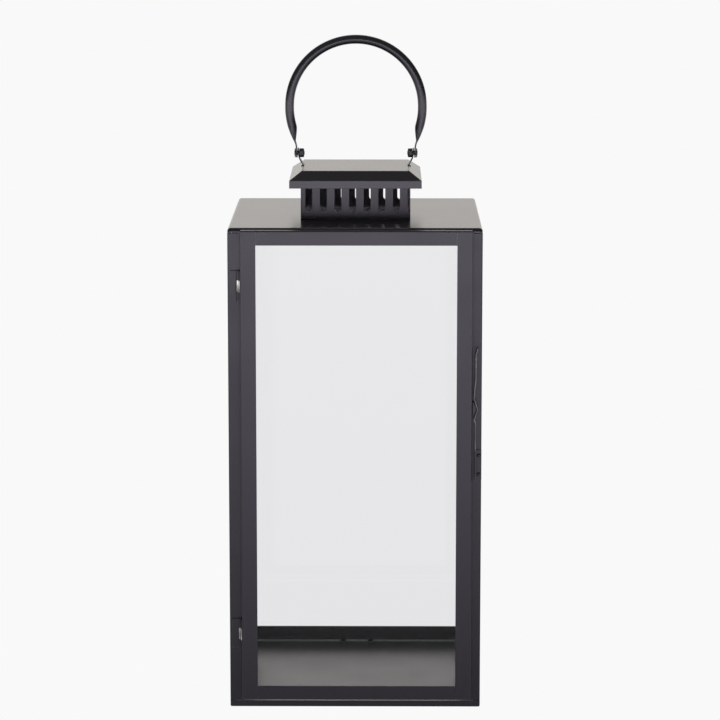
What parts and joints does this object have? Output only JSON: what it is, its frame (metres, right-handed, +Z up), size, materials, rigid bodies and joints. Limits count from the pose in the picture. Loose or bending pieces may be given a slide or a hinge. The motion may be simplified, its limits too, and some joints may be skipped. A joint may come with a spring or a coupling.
{
  "type": "candle lantern",
  "caption": "Square black metal and glass lantern for a candle, with a hinged glass door, a slotted vent under a flat-topped hood and a swinging bail handle.",
  "frame": {"origin": "on the ground under the middle of the case, the four-sided body without the door that stands proud of it", "axes": "+Z up, -Y out of the door side, +X to the right of someone facing the door"},
  "size_m": [0.22, 0.2286, 0.5839],
  "materials": {
    "black_powder_coat": "satin black powder coat on folded sheet steel",
    "handle_coat": "satin black powder coat on bent steel tube",
    "clear_glass": "clear float glass with a faint green edge",
    "clip_steel": "black painted folded tabs",
    "hinge_steel": "rubbed steel that shows through worn black paint",
    "spring_steel": "black painted spring strip, rubbed bright on its bends",
    "black_fastener": "black painted screws, nuts and rivets"
  },
  "bodies": {
    "case": {"base_tray": "black_powder_coat", "front_left_post": "black_powder_coat", "front_right_post": "black_powder_coat", "back_left_post": "black_powder_coat", "back_right_post": "black_powder_coat", "back_bottom_rail": "black_powder_coat", "left_bottom_rail": "black_powder_coat", "right_bottom_rail": "black_powder_coat", "back_top_rail": "black_powder_coat", "left_top_rail": "black_powder_coat", "right_top_rail": "black_powder_coat", "roof_panel": "black_powder_coat", "back_glass": "clear_glass", "left_glass": "clear_glass", "right_glass": "clear_glass", "back_lower_clip_a": "clip_steel", "back_lower_clip_b": "clip_steel", "back_upper_clip_a": "clip_steel", "back_upper_clip_b": "clip_steel", "left_lower_clip_a": "clip_steel", "left_lower_clip_b": "clip_steel", "left_upper_clip_a": "clip_steel", "left_upper_clip_b": "clip_steel", "right_lower_clip_a": "clip_steel", "right_lower_clip_b": "clip_steel", "right_upper_clip_a": "clip_steel", "right_upper_clip_b": "clip_steel", "vent_band": "black_powder_coat", "vent_hood": "black_powder_coat", "upper_hinge_post_leaf": "black_powder_coat", "upper_hinge_pin": "hinge_steel", "lower_hinge_post_leaf": "black_powder_coat", "lower_hinge_pin": "hinge_steel", "catch_foot": "black_powder_coat", "catch_rivet_lower": "black_fastener", "catch_rivet_upper": "black_fastener", "left_ear": "black_powder_coat", "right_ear": "black_powder_coat", "left_pivot_screw": "black_fastener", "right_pivot_screw": "black_fastener", "left_pivot_nut": "black_fastener", "right_pivot_nut": "black_fastener"},
    "door": {"door_left_stile": "black_powder_coat", "door_right_stile": "black_powder_coat", "door_bottom_rail": "black_powder_coat", "door_top_rail": "black_powder_coat", "door_glass": "clear_glass", "door_lower_clip_a": "clip_steel", "door_lower_clip_b": "clip_steel", "door_upper_clip_a": "clip_steel", "door_upper_clip_b": "clip_steel", "upper_hinge_door_leaf": "hinge_steel", "lower_hinge_door_leaf": "hinge_steel", "door_lug": "black_powder_coat"},
    "catch": {"catch_spring": "spring_steel"},
    "handle": {"handle": "handle_coat"}
  },
  "joints": [
    {"name": "door_hinge", "type": "hinge", "parent": "case", "child": "door", "pos_m": [-0.1007, -0.1118, 0.2155], "axis": [0, 0, -1], "range_deg": [0, 100]},
    {"name": "catch_flex", "type": "hinge", "parent": "case", "child": "catch", "pos_m": [0.1043, -0.1143, 0.2319], "axis": [0, 1, 0], "range_deg": [0, 3.5], "stiffness_Nm_per_rad": 2},
    {"name": "handle_swing", "type": "hinge", "parent": "case", "child": "handle", "pos_m": [0, 0, 0.479], "axis": [1, 0, 0], "range_deg": [-100, 100]}
  ]
}
